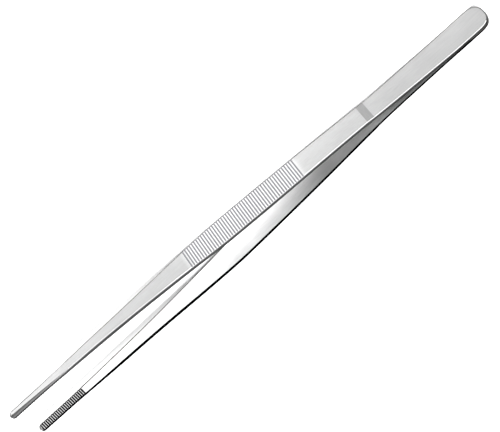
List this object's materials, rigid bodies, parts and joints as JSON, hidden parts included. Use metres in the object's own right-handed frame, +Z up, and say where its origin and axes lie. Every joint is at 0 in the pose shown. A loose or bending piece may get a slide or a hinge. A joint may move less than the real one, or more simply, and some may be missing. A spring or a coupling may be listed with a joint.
{
  "type": "aquascaping tweezers",
  "caption": "Long straight steel tweezers: two mirrored spring arms welded at a rounded butt, with cross-grooved finger grips and toothed tips.",
  "frame": {"origin": "middle of the length and of the opening, on the surface that the lower edges rest on", "axes": "+X from the butt to the tips, Y across the opening between the two arms, +Z up along the width of the arms"},
  "size_m": [0.3, 0.0278, 0.0138],
  "materials": {
    "arm_steel": "satin stainless steel, polished on the edges and the inner faces",
    "weld_steel": "ground stainless weld"
  },
  "bodies": {
    "butt": {"right_butt": "arm_steel", "left_butt": "arm_steel", "butt_weld": "weld_steel"},
    "right": {"right_arm": "arm_steel"},
    "left": {"left_arm": "arm_steel"}
  },
  "joints": [
    {"name": "right_squeeze", "type": "hinge", "parent": "butt", "child": "right", "pos_m": [-0.11, -0.0014, 0.0069], "axis": [0, 0, 1], "range_deg": [0, 2.57], "stiffness_Nm_per_rad": 13},
    {"name": "left_squeeze", "type": "hinge", "parent": "butt", "child": "left", "pos_m": [-0.11, 0.0014, 0.0069], "axis": [0, 0, -1], "range_deg": [0, 2.57], "stiffness_Nm_per_rad": 13}
  ]
}
